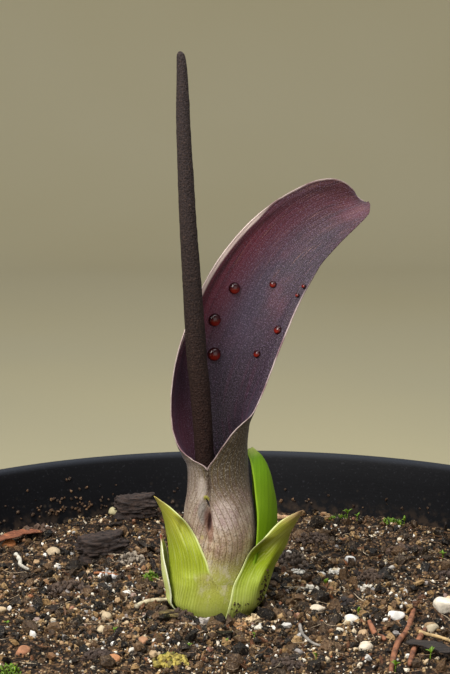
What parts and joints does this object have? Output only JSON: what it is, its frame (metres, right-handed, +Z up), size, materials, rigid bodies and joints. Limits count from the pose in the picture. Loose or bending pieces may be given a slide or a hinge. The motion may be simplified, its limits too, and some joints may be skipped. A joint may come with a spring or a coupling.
{
  "type": "potted biarum kotschyi",
  "caption": "Flowering biarum kotschyi in a round plastic pot: a dark leaning spathe and a long upright spadix rise from short green sheath leaves in gritty soil.",
  "frame": {"origin": "centre of the pot's base, where the pot stands", "axes": "+Z up; -Y is the side seen in the picture, so the spathe leans towards +X"},
  "size_m": [0.24, 0.24, 0.2501],
  "materials": {
    "pot": "satin",
    "soil": "matte",
    "tuber": "matte",
    "spathe": "matte",
    "spadix": "matte",
    "cataphyll_left": "satin",
    "cataphyll_right": "satin",
    "cataphyll_small": "satin",
    "leaf_green": "satin",
    "drops": "gloss",
    "stones": "matte",
    "bark": "matte",
    "twigs": "matte"
  },
  "bodies": {
    "root": {"pot": "pot", "soil": "soil", "tuber": "tuber", "spathe": "spathe", "spadix": "spadix", "cataphyll_left": "cataphyll_left", "cataphyll_right": "cataphyll_right", "cataphyll_small": "cataphyll_small", "leaf_green": "leaf_green", "drop_1": "drops", "drop_2": "drops", "drop_3": "drops", "drop_4": "drops", "drop_5": "drops", "drop_6": "drops", "drop_7": "drops", "drop_8": "drops", "stone_1": "stones", "stone_2": "stones", "stone_3": "stones", "stone_4": "stones", "stone_5": "stones", "stone_6": "stones", "stone_7": "stones", "stone_8": "stones", "bark_1": "bark", "bark_2": "bark", "bark_3": "bark", "twig_1": "twigs", "twig_2": "twigs", "twig_3": "twigs"}
  },
  "joints": []
}
